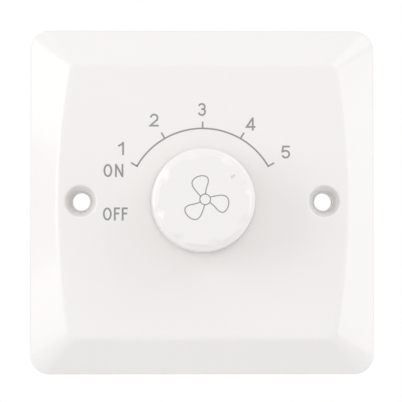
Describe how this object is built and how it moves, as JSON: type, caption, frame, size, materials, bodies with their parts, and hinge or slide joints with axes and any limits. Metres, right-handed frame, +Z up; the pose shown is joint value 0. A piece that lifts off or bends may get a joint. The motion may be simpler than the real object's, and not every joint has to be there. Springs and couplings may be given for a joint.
{
  "type": "rotary fan speed controller",
  "caption": "Square white wall-plate rotary fan speed controller with a fluted knob, a printed dial arc and a vented rear housing.",
  "frame": {"origin": "middle of the plate on the wall plane, where the plate's back rim meets the wall", "axes": "+Y into the wall, away from someone facing the plate; +Z up; +X to the right of someone facing the plate; the knob turns about Y"},
  "size_m": [0.086, 0.0523, 0.086],
  "materials": {
    "white_plastic": "gloss moulded white urea plastic",
    "grey_plastic": "fine moulded texture",
    "dark_plastic": "satin moulded",
    "phenolic": "laminated paper phenolic",
    "board_green": "solder-masked glass laminate",
    "capacitor_yellow": "moulded box",
    "capacitor_green": "dipped epoxy",
    "resistor_beige": "lacquer",
    "pad_grey": "silicone sheet",
    "ferrite": "coated iron-powder ring",
    "glass": "clear",
    "brass": "turned",
    "steel": "zinc plated",
    "tinned": "tinned",
    "aluminium": "rolled sheet",
    "copper_enamel": "enamelled wire"
  },
  "bodies": {
    "base": {"front_plate": "white_plastic", "bush": "brass", "bush_washer": "steel", "bush_nut": "steel", "pot_cover": "steel", "pot_wafer": "phenolic", "pot_pin_1": "tinned", "pot_pin_2": "tinned", "pot_pin_3": "tinned", "switch_case": "dark_plastic", "switch_lug_1": "tinned", "switch_lug_2": "tinned", "circuit_board": "board_green", "heat_sink": "aluminium", "triac": "dark_plastic", "insulating_pad": "pad_grey", "triac_screw": "steel", "triac_nut": "steel", "choke_core": "ferrite", "choke_winding": "copper_enamel", "film_capacitor": "capacitor_yellow", "timing_capacitor": "capacitor_green", "diac": "glass", "resistor_1": "resistor_beige", "resistor_2": "resistor_beige", "fuse": "glass", "fuse_clip_1": "tinned", "fuse_clip_2": "tinned", "terminal_block": "grey_plastic", "contact_bar_1": "tinned", "contact_bar_2": "tinned", "rear_housing": "grey_plastic", "housing_screw_1": "steel", "housing_screw_2": "steel", "housing_screw_3": "steel", "housing_screw_4": "steel"},
    "knob_body": {"knob": "white_plastic", "knob_spring": "steel", "shaft": "brass", "rotor": "dark_plastic", "wiper": "brass"},
    "switch_arm_body": {"switch_arm": "brass"},
    "terminal_screw_1_body": {"terminal_screw_1": "steel"},
    "cage_1_body": {"cage_1": "brass"},
    "terminal_screw_2_body": {"terminal_screw_2": "steel"},
    "cage_2_body": {"cage_2": "brass"}
  },
  "joints": [
    {"name": "knob_turn", "type": "hinge", "parent": "base", "child": "knob_body", "pos_m": [0, 0, 0], "axis": [0, 1, 0], "range_deg": [-149.5, 7.5]},
    {"name": "switch_snap", "type": "hinge", "parent": "base", "child": "switch_arm_body", "pos_m": [-0.008, 0.0052, 0.0066], "axis": [0, -1, 0], "range_deg": [0, 6]},
    {"name": "cage_1_rise", "type": "slide", "parent": "base", "child": "cage_1_body", "axis": [0, 1, 0], "range_m": [0, 0.003]},
    {"name": "terminal_screw_1_turn", "type": "hinge", "parent": "base", "child": "terminal_screw_1_body", "pos_m": [-0.0048, 0.0232, -0.0232], "axis": [0, -1, 0], "range_deg": [0, 1800]},
    {"name": "cage_2_rise", "type": "slide", "parent": "base", "child": "cage_2_body", "axis": [0, 1, 0], "range_m": [0, 0.003]},
    {"name": "terminal_screw_2_turn", "type": "hinge", "parent": "base", "child": "terminal_screw_2_body", "pos_m": [0.0048, 0.0232, -0.0232], "axis": [0, -1, 0], "range_deg": [0, 1800]}
  ],
  "couplings": [
    {"joint": "terminal_screw_1_turn", "follows": "cage_1_rise", "rad_per_m": 10472},
    {"joint": "terminal_screw_2_turn", "follows": "cage_2_rise", "rad_per_m": 10472}
  ]
}
